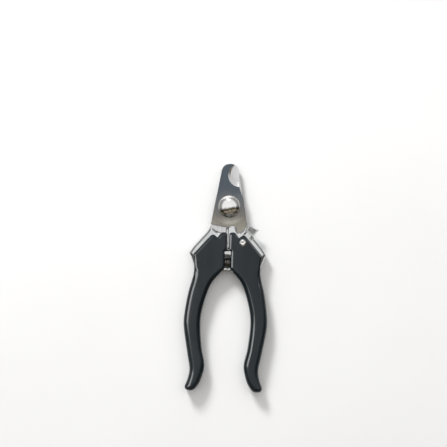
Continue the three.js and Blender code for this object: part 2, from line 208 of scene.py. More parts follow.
def bump_of(nodes, links, height, strength, distance, normal=None):
    bump = nodes.new("ShaderNodeBump")
    bump.inputs["Strength"].default_value = strength
    bump.inputs["Distance"].default_value = distance
    links.new(height, bump.inputs["Height"])
    if normal is not None:
        links.new(normal, bump.inputs["Normal"])
    return bump.outputs["Normal"]


def add_floor():
    bpy.ops.mesh.primitive_plane_add(size=6)
    floor = bpy.context.object
    floor.name = "studio_floor"
    material, nodes, links, shader = new_material("pale_floor")
    mottle = ramp_of(nodes, links, noise_of(nodes, links, 9, 4), [(0.3, 0.75), (0.7, 0.78)])
    links.new(mottle, shader.inputs["Base Color"])
    shader.inputs["Roughness"].default_value = 0.75
    floor.data.materials.append(material)


CENTRE = (0.0, 0.0, 0.005)
GLOSSY_PIECES = bpy.data.collections.new("mirrors_the_windows")


def add_area_light(name, at, size, power, mirrored=False):
    """A soft light that lights everything but is mirrored in nothing, or one that only the grips mirror."""
    data = bpy.data.lights.new(name, "AREA")
    data.shape = "RECTANGLE"
    data.size, data.size_y = size
    data.energy = power
    light = bpy.data.objects.new(name, data)
    light.location = at
    light.rotation_euler = (Vector(CENTRE) - Vector(at)).to_track_quat("-Z", "Y").to_euler()
    light.visible_glossy = mirrored
    light.visible_diffuse = not mirrored
    bpy.context.collection.objects.link(light)
    if mirrored:
        light.light_linking.receiver_collection = GLOSSY_PIECES


def add_world():
    """The studio round the object: white ahead of the blades and overhead, brown and dim behind the
    handles, and grey low down. The white reaches a little further back on the left."""
    world = bpy.data.worlds.new("studio")
    bpy.context.scene.world = world
    world.use_nodes = True
    nodes, links = world.node_tree.nodes, world.node_tree.links
    background = nodes["Background"]
    where = nodes.new("ShaderNodeTexCoord")
    parts = nodes.new("ShaderNodeSeparateXYZ")
    links.new(where.outputs["Generated"], parts.inputs["Vector"])

    clutter = nodes.new("ShaderNodeTexNoise")
    clutter.inputs["Scale"].default_value = 6.0
    clutter.inputs["Detail"].default_value = 3.0
    links.new(where.outputs["Generated"], clutter.inputs["Vector"])
    lean = nodes.new("ShaderNodeVectorMath")
    lean.operation = "DOT_PRODUCT"
    lean.inputs[1].default_value = (-0.2, 1.0, 0.0)
    links.new(where.outputs["Generated"], lean.inputs[0])
    wander = nodes.new("ShaderNodeMath")
    wander.operation = "MULTIPLY_ADD"
    wander.inputs[1].default_value = 0.7
    links.new(clutter.outputs["Fac"], wander.inputs[0])
    links.new(lean.outputs["Value"], wander.inputs[2])

    def ramp_along(direction, shift, stops):
        """A ramp over one part of the direction, whose stops are given from -1 to 1."""
        scaled = nodes.new("ShaderNodeMath")
        scaled.operation = "MULTIPLY_ADD"
        scaled.inputs[1].default_value = 0.5
        scaled.inputs[2].default_value = 0.5 - shift / 2
        links.new(direction, scaled.inputs[0])
        return ramp_of(nodes, links, scaled.outputs[0], [(0.5 + 0.5 * at, tone) for at, tone in stops])

    lengthwise = ramp_along(wander.outputs[0], 0.35, [
        (-1.0, 0.6), (-0.86, (0.3, 0.26, 0.2)), (-0.74, (0.1, 0.08, 0.05)), (-0.6, (0.42, 0.37, 0.3)),
        (-0.46, (0.06, 0.045, 0.02)), (-0.3, (0.09, 0.075, 0.05)), (-0.2, 0.4), (-0.12, 0.7), (-0.04, 0.95),
        (0.04, 1.0), (0.82, 0.95), (0.92, 2.6), (1.0, 3.4),
    ])
    upward = ramp_along(parts.outputs["Z"], 0, [
        (0.0, 0.36), (0.34, 0.26), (0.48, 0.6), (0.58, 0.95), (1.0, 1.0),
    ])
    both = nodes.new("ShaderNodeVectorMath")
    both.operation = "MULTIPLY"
    links.new(lengthwise, both.inputs[0])
    links.new(upward, both.inputs[1])
    links.new(both.outputs[0], background.inputs["Color"])


bpy.context.scene.view_settings.view_transform = "Standard"
add_floor()
add_world()
add_area_light("key_light", (-0.4, 0.8, 0.62), (0.26, 0.26), 11.5)
add_area_light("top_fill", (0.15, 0.1, 1.1), (0.9, 0.9), 2.5)
add_area_light("left_window", (-0.52, 0.02, 0.85), (0.3, 0.95), 9, mirrored=True)
add_area_light("right_window", (0.7, 0.34, 0.68), (0.4, 0.3), 4, mirrored=True)


# ------------------------------------------------------------------ materials


def grip_plastic():
    """Moulded black plastic with a fine skin and faint smears."""
    material, nodes, links, shader = new_material("grip_plastic")
    smear = noise_of(nodes, links, 70, 5, (1, 0.35, 1))
    links.new(
        ramp_of(nodes, links, smear, [(0.35, (0.005, 0.0085, 0.0105)), (0.7, (0.0095, 0.0145, 0.0175))]),
        shader.inputs["Base Color"],
    )
    links.new(ramp_of(nodes, links, smear, [(0.3, 0.09), (0.75, 0.17)]), shader.inputs["Roughness"])
    shader.inputs["Specular IOR Level"].default_value = 0.32
    skin = bump_of(nodes, links, noise_of(nodes, links, 1500, 2), 0.03, 0.0001)
    flow = bump_of(nodes, links, noise_of(nodes, links, 110, 2), 0.05, 0.0003, skin)
    links.new(flow, shader.inputs["Normal"])
    return material


def plated(name, tone, roughness, wave=0.05):
    """Bright plating over a cast or pressed surface: slightly wavy, with hairlines and dull specks."""
    material, nodes, links, shader = new_material(name)
    shader.inputs["Metallic"].default_value = 1.0
    cloud = noise_of(nodes, links, 160, 4)
    low = tuple(0.86 * value for value in tone)
    links.new(ramp_of(nodes, links, cloud, [(0.3, low), (0.7, tone)]), shader.inputs["Base Color"])
    links.new(
        ramp_of(nodes, links, cloud, [(0.3, roughness * 1.5), (0.7, roughness)]), shader.inputs["Roughness"]
    )
    hairs = bump_of(nodes, links, noise_of(nodes, links, 900, 2, (1, 0.06, 1), 0.7), 0.05, 0.00005)
    waves = bump_of(nodes, links, noise_of(nodes, links, 220, 1), wave, 0.0004, hairs)
    links.new(waves, shader.inputs["Normal"])
    return material


def blade_steel():
    """Satin steel, dark and bluish towards the tip and lighter and warmer near the handles, with a painted
    highlight in a ring below the pivot.
    """
    material, nodes, links, shader = new_material("blade_steel")
    shader.inputs["Metallic"].default_value = 1.0
    where = nodes.new("ShaderNodeTexCoord")
    parts = nodes.new("ShaderNodeSeparateXYZ")
    links.new(where.outputs["Object"], parts.inputs["Vector"])
    wander = noise_of(nodes, links, 120, 3, (1, 0.5, 1))
    uneven = nodes.new("ShaderNodeMath")
    uneven.operation = "MULTIPLY_ADD"
    uneven.inputs[1].default_value = 0.008
    links.new(wander, uneven.inputs[0])
    links.new(parts.outputs["Y"], uneven.inputs[2])
    along = nodes.new("ShaderNodeMapRange")
    along.inputs["From Min"].default_value = (PIVOT_Y - 10) * MM
    along.inputs["From Max"].default_value = (PIVOT_Y + 15) * MM
    links.new(uneven.outputs[0], along.inputs["Value"])
    tint = ramp_of(nodes, links, along.outputs["Result"], [
        (0.0, (0.46, 0.43, 0.36)), (0.3, (0.27, 0.255, 0.225)), (0.58, (0.2, 0.2, 0.205)),
        (0.76, (0.18, 0.195, 0.21)), (0.9, (0.125, 0.145, 0.165)), (1.0, (0.115, 0.137, 0.16)),
    ])
    # Painted highlight: a lighter, warmer ring round the pivot, on the handle side only, mixed into the
    # steel's colour.
    from_pivot = nodes.new("ShaderNodeVectorMath")
    from_pivot.operation = "DISTANCE"
    from_pivot.inputs[1].default_value = place((0, 0, BLADE_TOP))
    links.new(where.outputs["Object"], from_pivot.inputs[0])
    highlight_radius = nodes.new("ShaderNodeMapRange")
    highlight_radius.inputs["From Min"].default_value = 7.2 * MM
    highlight_radius.inputs["From Max"].default_value = 11.2 * MM
    links.new(from_pivot.outputs["Value"], highlight_radius.inputs["Value"])
    low_end = ramp_of(nodes, links, along.outputs["Result"], [(0.0, 1.0), (0.22, 0.6), (0.36, 0.0)])
    highlight_ring = ramp_of(nodes, links, highlight_radius.outputs["Result"], [(0.0, 0.4), (0.3, 1.0), (0.6, 0.9), (0.8, 0.1)])
    painted_highlight = nodes.new("ShaderNodeMath")
    painted_highlight.operation = "MULTIPLY"
    links.new(low_end, painted_highlight.inputs[0])
    links.new(highlight_ring, painted_highlight.inputs[1])
    with_highlight = nodes.new("ShaderNodeMix")
    with_highlight.data_type = "RGBA"
    with_highlight.inputs["B"].default_value = (0.62, 0.6, 0.53, 1)
    links.new(painted_highlight.outputs[0], with_highlight.inputs["Factor"])
    links.new(tint, with_highlight.inputs["A"])
    grain = noise_of(nodes, links, 1300, 3, (1, 0.04, 1), 1.35)
    shade = nodes.new("ShaderNodeMix")
    shade.data_type = "RGBA"
    shade.blend_type = "MULTIPLY"
    shade.inputs["Factor"].default_value = 1.0
    links.new(with_highlight.outputs["Result"], shade.inputs["A"])
    links.new(ramp_of(nodes, links, grain, [(0.3, 0.8), (0.7, 1.0)]), shade.inputs["B"])
    links.new(shade.outputs["Result"], shader.inputs["Base Color"])
    links.new(ramp_of(nodes, links, grain, [(0.3, 0.24), (0.7, 0.34)]), shader.inputs["Roughness"])
    links.new(bump_of(nodes, links, grain, 0.09, 0.00005), shader.inputs["Normal"])
    return material


def ground_steel(name, tone, scale, turn):
    """Freshly ground steel with fine wheel marks."""
    material, nodes, links, shader = new_material(name)
    shader.inputs["Metallic"].default_value = 1.0
    marks = noise_of(nodes, links, scale, 2, (1, 0.08, 1), turn)
    links.new(ramp_of(nodes, links, marks, [(0.3, tone * 0.88), (0.7, tone)]), shader.inputs["Base Color"])
    links.new(ramp_of(nodes, links, marks, [(0.3, 0.36), (0.7, 0.26)]), shader.inputs["Roughness"])
    links.new(bump_of(nodes, links, marks, 0.08, 0.00004), shader.inputs["Normal"])
    return material


GRIP = grip_plastic()
CASTING = plated("bolster_casting", (0.71, 0.725, 0.725), 0.13)
BRIGHT = plated("bright_plating", (0.95, 0.94, 0.92), 0.05, 0.02)
# The wire's dark tone is painted shade for the coil deep in the gap between the handles. The tang rivets and
# the wave washer share it.
SHADED_WIRE = plated("spring_wire_painted_shade", (0.3, 0.29, 0.26), 0.24)
SHEET = plated("lever_sheet", (0.7, 0.71, 0.71), 0.16)
KNURL = plated("lever_ridges", (0.6, 0.6, 0.59), 0.24)
WASHER = plated("washer_plating", (0.46, 0.45, 0.41), 0.16)
BLADE = blade_steel()
GROUND = ground_steel("notch_grind", 0.95, 2200, 0.4)
INNER_FACE = ground_steel("blade_inner_face", 0.76, 1200, 0.2)


# ------------------------------------------------------------------ outlines


class Outline:
    """A closed outline, drawn from straight and curved stretches in even small steps."""

    def __init__(self, x, y):
        self.points = [Vector((x, y))]

    def _follow(self, curve, length):
        steps = max(2, round(length / STEP))
        self.points += [curve(step / steps) for step in range(1, steps + 1)]
        return self

    def line(self, *ends):
        for end in ends:
            start, stop = self.points[-1], Vector(end)
            self._follow(lambda t, a=start, b=stop: a.lerp(b, t), (stop - start).length)
        return self

    def quad(self, control, end):
        start, control, end = self.points[-1], Vector(control), Vector(end)
        length = (control - start).length + (end - control).length
        return self._follow(lambda t: start.lerp(control, t).lerp(control.lerp(end, t), t), length)

    def cubic(self, first, second, end):
        a, b, c, d = self.points[-1], Vector(first), Vector(second), Vector(end)
        length = (b - a).length + (c - b).length + (d - c).length

        def curve(t):
            left, mid, right = a.lerp(b, t), b.lerp(c, t), c.lerp(d, t)
            return left.lerp(mid, t).lerp(mid.lerp(right, t), t)

        return self._follow(curve, length)

    def spline(self, points):
        """A Catmull-Rom curve from the last point through the given ones."""
        knots = [self.points[-1]] + [Vector(point) for point in points]
        last = len(knots) - 1
        for index in range(last):
            before, start = knots[max(index - 1, 0)], knots[index]
            end, after = knots[index + 1], knots[min(index + 2, last)]

            def curve(t, p0=before, p1=start, p2=end, p3=after):
                leave, arrive = (p2 - p0) / 2, (p3 - p1) / 2
                cubed, squared = t * t * t, t * t
                return (
                    (2 * cubed - 3 * squared + 1) * p1 + (cubed - 2 * squared + t) * leave
                    + (3 * squared - 2 * cubed) * p2 + (cubed - squared) * arrive
                )

            self._follow(curve, (end - start).length)
        return self

    def arc(self, centre, radius, start, end):
        """An arc between two angles in degrees."""
        centre = Vector(centre)

        def curve(t):
            angle = math.radians(start + (end - start) * t)
            return centre + radius * Vector((math.cos(angle), math.sin(angle)))

        self.line(curve(0))
        return self._follow(curve, abs(math.radians(end - start)) * radius)

    def loop(self):
        return tidy_loop([tuple(point) for point in self.points])


def tidy_loop(points):
    """A loop as an array that runs counter-clockwise and has no point twice."""
    loop = np.array(points, float)
    keep = np.linalg.norm(loop - np.roll(loop, 1, axis=0), axis=1) > 1e-4
    loop = loop[keep]
    x, y = loop.T
    area = np.sum(x * np.roll(y, -1) - np.roll(x, -1) * y) / 2
    return loop if area > 0 else loop[::-1]


def circle(centre, radius, count=48):
    angles = np.arange(count) * 2 * math.pi / count
    return np.column_stack([centre[0] + radius * np.cos(angles), centre[1] + radius * np.sin(angles)])


def inward(loop):
    along = np.roll(loop, -1, axis=0) - np.roll(loop, 1, axis=0)
    along /= np.linalg.norm(along, axis=1, keepdims=True)
    return np.column_stack([-along[:, 1], along[:, 0]])


def distance_to(points, loop):
    """Each point's distance to the nearest edge of a loop."""
    edge = np.roll(loop, -1, axis=0) - loop
    length = np.einsum("ij,ij->i", edge, edge)
    found = []
    for chunk in np.array_split(points, max(1, len(points) // 1500)):
        off = chunk[:, None] - loop[None]
        along = np.clip(np.einsum("ijk,jk->ij", off, edge) / length, 0, 1)
        found.append(np.linalg.norm(off - along[..., None] * edge, axis=2).min(axis=1))
    return np.concatenate(found)


def is_inside(points, loop):
    """True for each point inside a loop."""
    x, y = points[:, :1], points[:, 1:]
    x0, y0 = loop.T
    x1, y1 = np.roll(loop, -1, axis=0).T
    level = (y0 > y) != (y1 > y)
    rise = np.where(y1 == y0, 1e-12, y1 - y0)
    crossing = level & (x < (x1 - x0) * (y - y0) / rise + x0)
    return crossing.sum(axis=1) % 2 == 1


def grown(points, distance):
    """A coarse polygon moved outwards by a distance, with mitred corners."""
    loop = tidy_loop(points)
    ahead = np.roll(loop, -1, axis=0) - loop
    ahead /= np.linalg.norm(ahead, axis=1, keepdims=True)
    out = np.column_stack([ahead[:, 1], -ahead[:, 0]])
    before = np.roll(out, 1, axis=0)
    spread = 1 + np.einsum("ij,ij->i", out, before)
    return loop + distance * (out + before) / spread[:, None]


# ------------------------------------------------------------------ meshes


def add_mesh(name, verts, faces, material, turned=False, sharp=35):
    mesh = bpy.data.meshes.new(name)
    mesh.from_pydata([place(co, turned) for co in verts], [], faces)
    mesh.validate()
    mesh.update()
    piece = bpy.data.objects.new(name, mesh)
    bpy.context.collection.objects.link(piece)
    mesh.materials.append(material)
    mesh.polygons.foreach_set("use_smooth", [True] * len(mesh.polygons))
    mesh.set_sharp_from_angle(angle=math.radians(sharp))
    return piece


RINGS = (0.06, 0.16, 0.3, 0.48, 0.7, 0.96, 1.26, 1.6, 2.0)


def scattered(loops, rings, grid):
    """Points within a flat area: rows that follow its loops at the ring distances, then an even field."""
    outline = loops[0]
    rows = []
    for loop in loops:
        facing = inward(loop) if loop is outline else -inward(loop)
        for index, distance in enumerate(rings):
            row = (loop + facing * distance)[::1 if index < 5 else 2]
            nearest = np.min([distance_to(row, other) for other in loops], axis=0)
            rows.append(row[nearest > distance * 0.97])
    low, high = outline.min(axis=0), outline.max(axis=0)
    across, up = np.meshgrid(np.arange(low[0], high[0], grid), np.arange(low[1], high[1], grid * 0.866))
    across[::2] += grid / 2
    field = np.column_stack([across.ravel(), up.ravel()])
    field = field[is_inside(field, outline)]
    nearest = np.min([distance_to(field, loop) for loop in loops], axis=0)
    return np.concatenate([*rows, field[nearest > rings[-1] + grid * 0.4]])


def relief(name, outline, top, bottom, material, holes=(), rings=RINGS, grid=0.9, turned=False, sharp=35,
           crease=None):
    """A closed solid over a flat outline. Its two faces are heights worked out from the place and from the
    distance to the edge, so that rims come out rounded or chamfered whatever shape the outline has. A crease
    is a line of points that the mesh follows, so that a face can bend sharply along it."""
    loops = [outline, *holes]
    scatter = scattered(loops, rings, grid)
    parts, edges = [], []
    for loop in loops:
        start = sum(len(part) for part in parts)
        edges += [(start + index, start + (index + 1) % len(loop)) for index in range(len(loop))]
        parts.append(loop)
    if crease is not None:
        line = crease[is_inside(crease, outline) & (distance_to(crease, outline) > 0.05)]
        start = sum(len(part) for part in parts)
        steps = np.linalg.norm(np.diff(line, axis=0), axis=1)
        edges += [(start + index, start + index + 1) for index, step in enumerate(steps) if step < 1]
        parts.append(line)
        apart = [np.linalg.norm(line - point, axis=1).min() for point in scatter]
        scatter = scatter[np.array(apart) > 0.15]
    parts.append(scatter)
    spots = [Vector(co) for part in parts for co in part]
    found, _, faces, *_ = delaunay_2d_cdt(spots, edges, [], 0, 1e-5)
    points = np.array([tuple(co) for co in found])
    middles = np.array([points[list(face)].mean(axis=0) for face in faces])
    kept = is_inside(middles, outline)
    for hole in holes:
        kept &= ~is_inside(middles, hole)
    faces = [list(face) for face, keep in zip(faces, kept) if keep]
    used = sorted({index for face in faces for index in face})
    number = {old: new for new, old in enumerate(used)}
    points = points[used]
    faces = [[number[index] for index in face] for face in faces]
    count = len(points)
    rim_distance = distance_to(points, outline)
    upper, lower = top(points, rim_distance), bottom(points, rim_distance)
    solid = [(*xy, z) for xy, z in zip(points, upper)] + [(*xy, z) for xy, z in zip(points, lower)]
    sides = {}
    for face in faces:
        for a, b in zip(face, face[1:] + face[:1]):
            if (b, a) in sides:
                del sides[b, a]
            else:
                sides[a, b] = True
    shell = faces + [[index + count for index in reversed(face)] for face in faces]
    shell += [[a + count, b + count, b, a] for a, b in sides]
    return add_mesh(name, solid, shell, material, turned, sharp)


def rounded(level, across, down):
    """A face at a level whose rim falls away in a quarter ellipse. `down` may be a function of the place."""

    def height(points, distance):
        depth = down(points) if callable(down) else down
        near = np.clip(1 - distance / across, 0, 1)
        return level - depth * (1 - np.sqrt(1 - near ** 2))

    return height


def flat(level):
    return lambda points, distance: np.full(len(points), float(level))


def prism(loop, bottom, top, turned=False):
    """A plain solid that is only used to cut with."""
    count = len(loop)
    verts = [(*xy, bottom) for xy in loop] + [(*xy, top) for xy in loop]
    faces = [list(range(count))[::-1], list(range(count, 2 * count))]
    faces += [[i, (i + 1) % count, (i + 1) % count + count, i + count] for i in range(count)]
    return add_mesh("cutter", verts, faces, GRIP, turned)


def combine(piece, others, operation):
    """Applies a boolean with each of the others, which are used up."""
    for other in others:
        modifier = piece.modifiers.new(operation.lower(), "BOOLEAN")
        modifier.operation = operation
        modifier.solver = "EXACT"
        modifier.object = other
        graph = bpy.context.evaluated_depsgraph_get()
        made = bpy.data.meshes.new_from_object(piece.evaluated_get(graph))
        piece.modifiers.clear()
        piece.data = made
        bpy.data.objects.remove(other)
    clean(piece)
    return piece


def clean(piece, sharp=35):
    """Merges doubled corners and marks the sharp edges again."""
    shape = bmesh.new()
    shape.from_mesh(piece.data)
    bmesh.ops.remove_doubles(shape, verts=shape.verts, dist=2e-6)
    bmesh.ops.dissolve_degenerate(shape, edges=shape.edges, dist=1e-6)
    shape.to_mesh(piece.data)
    shape.free()
    piece.data.polygons.foreach_set("use_smooth", [True] * len(piece.data.polygons))
    piece.data.set_sharp_from_angle(angle=math.radians(sharp))


def copy_of(node):
    """A copy of a CAD node's solid, to cut or to keep within."""
    source = frame["nodes"][node]
    piece = bpy.data.objects.new("copy", source.data.copy())
    bpy.context.collection.objects.link(piece)
    return piece


def lathe(name, profile, material, at, axis="Z", count=96, turned=False, sharp=30):
    """A solid turned about an axis from (radius, height) points that start and end on the axis or close."""
    verts, faces, rows = [], [], []
    for radius, height in profile:
        if radius < 1e-6:
            rows.append([len(verts)] * count)
            verts.append((0.0, 0.0, height))
            continue
        rows.append(list(range(len(verts), len(verts) + count)))
        for index in range(count):
            angle = 2 * math.pi * index / count
            verts.append((radius * math.cos(angle), radius * math.sin(angle), height))
    for below, above in zip(rows, rows[1:]):
        for index in range(count):
            after = (index + 1) % count
            corners = [below[index], below[after], above[after], above[index]]
            corners = list(dict.fromkeys(corners))
            if len(corners) > 2:
                faces.append(corners)
    if axis == "X":
        verts = [(z, y, -x) for x, y, z in verts]
    verts = [(x + at[0], y + at[1], z + at[2]) for x, y, z in verts]
    return add_mesh(name, verts, faces, material, turned, sharp)


def stands_for(piece, body, slot, *nodes):
    """Fixes a finished piece to its body and hides the CAD nodes that it stands for."""
    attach(piece, body)
    if nodes:
        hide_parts(*nodes)
    return piece


# ------------------------------------------------------------------ blades


def blade_outline():
    return (
        Outline(-8.9, -10.4).quad((-9.9, -10.3), (-9.64, -9.4)).line((-4.9, 19.5))
        .cubic((-4.4, 22.6), (-2.4, TIP_Y), (0, TIP_Y)).quad((1.4, TIP_Y), (2.2, 23.3))
        .quad((0.7, 21.8), (0.3, 19.26)).arc(NOTCH_CENTRE, NOTCH_RADIUS, 172, 272).line((5.3, 10.5))
        .spline([(6.6, 7.2), (7.8, 3.9), (8.9, -2.8), (10, -9.5)])
        .line((9.6, -12), (7.6, -15.4), (5.4, -18.5), (1.6, -18.5), (1.4, -12), (-8.9, -10.4)).loop()
    )


def notch_fall(points):
    """How far up the hollow grind each point is: 0 at the cutting edge and 1 at the grind's outer rim. The
    grind is a cone that leans, so each level of it is a circle whose centre is shifted."""
    off = points - np.array(NOTCH_CENTRE)
    half = off @ np.array(GRIND_SHIFT) + NOTCH_RADIUS * GRIND_WIDTH
    lean = np.dot(GRIND_SHIFT, GRIND_SHIFT) - GRIND_WIDTH ** 2
    excess = np.einsum("ij,ij->i", off, off) - NOTCH_RADIUS ** 2
    root = np.sqrt(np.maximum(half ** 2 - lean * excess, 0))
    return np.clip(excess / np.maximum(half + root, 1e-6), 0, 1)


def blade_face(points, distance):
    """The blade thins slightly towards its tip, its rim is broken, and the notch is ground hollow."""
    taper = np.clip((points[:, 1] - 5) / 19, 0, 1) ** 2 * BLADE_TAPER
    rim = np.clip(0.22 - distance, 0, 1) * 0.7
    off = points - np.array(NOTCH_CENTRE)
    heading = off / np.maximum(np.linalg.norm(off, axis=1), 1e-6)[:, None]
    width = GRIND_WIDTH + heading @ np.array(GRIND_SHIFT)
    grind = (1 - notch_fall(points)) * np.minimum(width * GRIND_SLOPE, GRIND_DEPTH)
    grind[points[:, 1] < GRIND_FROM_Y] = 0
    return BLADE_TOP - taper - np.maximum(rim, grind)


def add_blade(name, body, turned):
    """One blade, with the ground notch and the inner face in steels of their own."""
    rings = (0.08, 0.2, 0.4, 0.7, 1.1, 1.6, 2.2, 2.9)
    holes = [circle((0, 0), BLADE_HOLE_RADIUS), circle(TANG_RIVET_AT, TANG_RIVET_HOLE_RADIUS, 24)]
    rim = circle(np.add(NOTCH_CENTRE, GRIND_SHIFT), NOTCH_RADIUS + GRIND_WIDTH, 180)
    blade = relief(
        f"{name}_look", blade_outline(), blade_face, flat(BLADE_BOTTOM), BLADE, holes, rings, 0.7, turned,
        sharp=28, crease=rim,
    )
    blade.data.materials.append(GROUND)
    blade.data.materials.append(INNER_FACE)
    for face in blade.data.polygons:
        x, y, _ = face.center
        x, y = (-x if turned else x) / MM, y / MM - PIVOT_Y
        facing = face.normal.z * (-1 if turned else 1)
        if facing > 0.3 and y > GRIND_FROM_Y and notch_fall(np.array([[x, y]]))[0] < 0.995:
            face.material_index = 1
        elif facing < -0.9:
            face.material_index = 2
    return stands_for(blade, body, "blade_steel", name)


add_blade("front_blade", "right_half", False)
add_blade("back_blade", "root", True)


# ------------------------------------------------------------------ bolsters

BOLSTER_POINTS = [
    (0.15, -12), (2.6, -10.3), (4.1, -10.2), (5.6, -14.4), (10, -10.9), (11.7, -14.1), (19.2, -22.75),
    (21.6, -26.5), (20.5, -28.5), (18.5, -34.2), (16.8, -37.2), (11, -38.2), (5, -37.2), (2, -35.9),
    (0.15, -35.5), (0.15, -34.7), (1.7, -34.3), (1.7, -24.8), (0.15, -24.2),
]
TANG_POINTS = [(11, -33), (14.4, -43), (17.4, -55), (18.5, -66), (17.1, -79), (15.3, -89)]
TANG_HALF_WIDTH = 2.5
CHAMFER_WIDTH = 1.6
CHAMFER_DROP = 1.15


def ribbon(points, half_width):
    """The outline of a band of even width along a smooth line."""
    line = Outline(*points[0]).spline(points[1:]).points
    left, right = [], []
    for index, point in enumerate(line):
        along = (line[min(index + 1, len(line) - 1)] - line[max(index - 1, 0)]).normalized()
        side = Vector((-along.y, along.x)) * half_width
        left.append(tuple(point + side))
        right.append(tuple(point - side))
    return tidy_loop(left + right[::-1])


def fine(points):
    """A polygon with its corners kept and its sides divided into even small steps."""
    outline = Outline(*points[0])
    outline.line(*points[1:], points[0])
    return outline.loop()


def chamfered(level, direction):
    """A cast face whose rim is chamfered, with a rounded shoulder where the chamfer starts."""

    def height(points, distance):
        near = np.clip(1 - distance / CHAMFER_WIDTH, 0, 1)
        soft = np.clip(1 - distance / (CHAMFER_WIDTH * 0.35), 0, 1) ** 2
        off_gap = np.clip((points[:, 0] - WIDE_HALF_GAP) / 1.5, 0, 1)
        return level - direction * ((CHAMFER_DROP * near + 0.2 * soft) * off_gap + 0.08 * soft)

    return height


def add_bolster(name, body, turned):
    """The casting keeps every pocket of its CAD solid, within an envelope that has finished edges."""
    edge = fine(grown(BOLSTER_POINTS, -SKIN))
    envelope = relief(
        "envelope", edge, chamfered(BOLSTER_TOP - SKIN, 1), chamfered(BOLSTER_BOTTOM + SKIN, -1), CASTING,
        rings=(0.1, 0.25, 0.42, 0.56, 0.9, 1.25, 1.6, 1.9), grid=1.1, turned=turned,
    )
    band = prism(ribbon(TANG_POINTS, TANG_HALF_WIDTH + 1), MIDDLE - 1.5, MIDDLE + 1.5, turned)
    combine(envelope, [band], "UNION")
    casting = copy_of(name)
    combine(casting, [envelope], "INTERSECT")
    casting.name = f"{name}_look"
    casting.data.materials.clear()
    casting.data.materials.append(CASTING)
    return stands_for(casting, body, "bolster_metal", name)


add_bolster("right_bolster", "right_half", False)
add_bolster("left_bolster", "root", True)


# ------------------------------------------------------------------ grips


GRIP_WIDEST = 23.3
CREASE_INSET = 1.95
CREASE_SLOPE = 0.68
CREASE_SOFTNESS = 0.2


def grip_outline():
    return (
        Outline(GRIP_HALF_GAP, GRIP_TOP_Y - 1.6).line((GRIP_HALF_GAP, WIDE_GAP_TOP))
        .line((WIDE_HALF_GAP, WIDE_GAP_TOP - 0.9), (WIDE_HALF_GAP, -34.6))
        .spline([
            (3.6, -36.9), (8.9, -44), (12.8, -56), (14, -66), (12.9, -79), (11, -89), (12.8, -97.3),
            (15, -101.2),
        ])
        .cubic((15.9, -102.4), (16.9, TAIL_Y), (18.4, TAIL_Y))
        .cubic((20.3, TAIL_Y), (21.9, -102.7), (21.5, -100.6))
        .spline([
            (20, -96.5), (19.2, -91), (20.6, -83), (23, -69), (23.1, -61), (21.3, -49), (18.7, -38.7),
            (18.4, -34.5),
        ])
        .quad((18.5, -30.5), (19, -28.6)).quad((19.6, -27.4), (18.2, -26)).line((10.2, -16.9))
        .quad((8.7, -15.2), (7.3, -16.4)).line((6, -17.4)).line((4.6, -15.5))
        .quad((3.8, GRIP_TOP_Y), (2.5, GRIP_TOP_Y)).quad((GRIP_HALF_GAP, GRIP_TOP_Y), (GRIP_HALF_GAP, -16))
        .loop()
    ).clip(max=(GRIP_WIDEST, TIP_Y))


def fullness(points):
    """0 over the bolster and 1 on the handles, with a smooth change at the neck."""
    t = np.clip((-33 - points[:, 1]) / 10, 0, 1)
    return t * t * (3 - 2 * t)


def grip_face(level, direction):
    """A grip's outer face. Over the bolster its rim is a tight round. On the handles the flat top ends in a
    soft crease, then slopes off to a fuller round."""

    def height(points, distance):
        full = fullness(points)
        near = np.clip(1 - distance / 1.35, 0, 1)
        rim = (1.0 + 0.15 * full) * (1 - np.sqrt(1 - near ** 2))
        slope = CREASE_SLOPE * CREASE_SOFTNESS * np.log1p(np.exp((CREASE_INSET - distance) / CREASE_SOFTNESS))
        return level - direction * (rim + slope * full)

    return height


def parting_face(level, direction):
    """The face where two shells meet, with its corner broken so that the parting line shows."""
    return lambda points, distance: level - direction * np.clip(0.14 - distance, 0, 1) * 1.2


def screw_cutters(bottom_up, turned):
    """Stepped bores for the two screws, from the back of the clipper whichever way the half lies."""
    cutters = []
    for centre in SCREW_PLACES.values():
        for radius, depth in (SCREW_BORE, SCREW_HEAD_BORE):
            low, high = (-1, depth) if bottom_up else (THICKNESS - depth, THICKNESS + 1)
            cutters.append(prism(circle(centre, radius), low, high, turned))
    return cutters


def add_grip(name, body, turned, is_upper):
    """One moulded shell. is_upper is the shell above the middle plane before the half is turned over."""
    if is_upper:
        top, bottom = grip_face(THICKNESS, 1), parting_face(MIDDLE + GAP / 2, -1)
    else:
        top, bottom = parting_face(MIDDLE - GAP / 2, 1), grip_face(0, -1)
    shell = relief(
        f"{name}_look", grip_outline(), top, bottom, GRIP,
        rings=(0.06, 0.14, 0.28, 0.5, 0.8, 1.1, 1.36, 1.6, 1.8, 1.98, 2.16, 2.36, 2.65), grid=1.0,
        turned=turned, sharp=40,
    )
    ring = circle((0, 0), LAP_RADIUS, 96)
    core = prism(fine(grown(BOLSTER_POINTS, GAP)), BOLSTER_BOTTOM - GAP, BOLSTER_TOP + GAP, turned)
    if not is_upper:
        combine(core, [prism(ring, -1, BLADE_BOTTOM - GAP, turned)], "DIFFERENCE")
    tang = prism(ribbon(TANG_POINTS, TANG_HALF_WIDTH + GAP), MIDDLE - 1.4, MIDDLE + 1.4, turned)
    cutters = [core, tang, *screw_cutters(not turned, turned)]
    if not turned:
        cutters.append(prism(circle(LOCK_PIVOT, LOCK_RIVET_HOLE_RADIUS), -1, THICKNESS + 1))
        if not is_upper:
            cutters.append(prism(circle(LOCK_PIVOT, 2.2), -1, BOLSTER_BOTTOM))
    combine(shell, cutters, "DIFFERENCE")
    GLOSSY_PIECES.objects.link(shell)
    return stands_for(shell, body, "grip_plastic", name)


add_grip("right_front_grip", "right_half", False, True)
add_grip("right_rear_grip", "right_half", False, False)
add_grip("left_rear_grip", "root", True, True)
add_grip("left_front_grip", "root", True, False)


# ------------------------------------------------------------------ pivot, screws and rivets


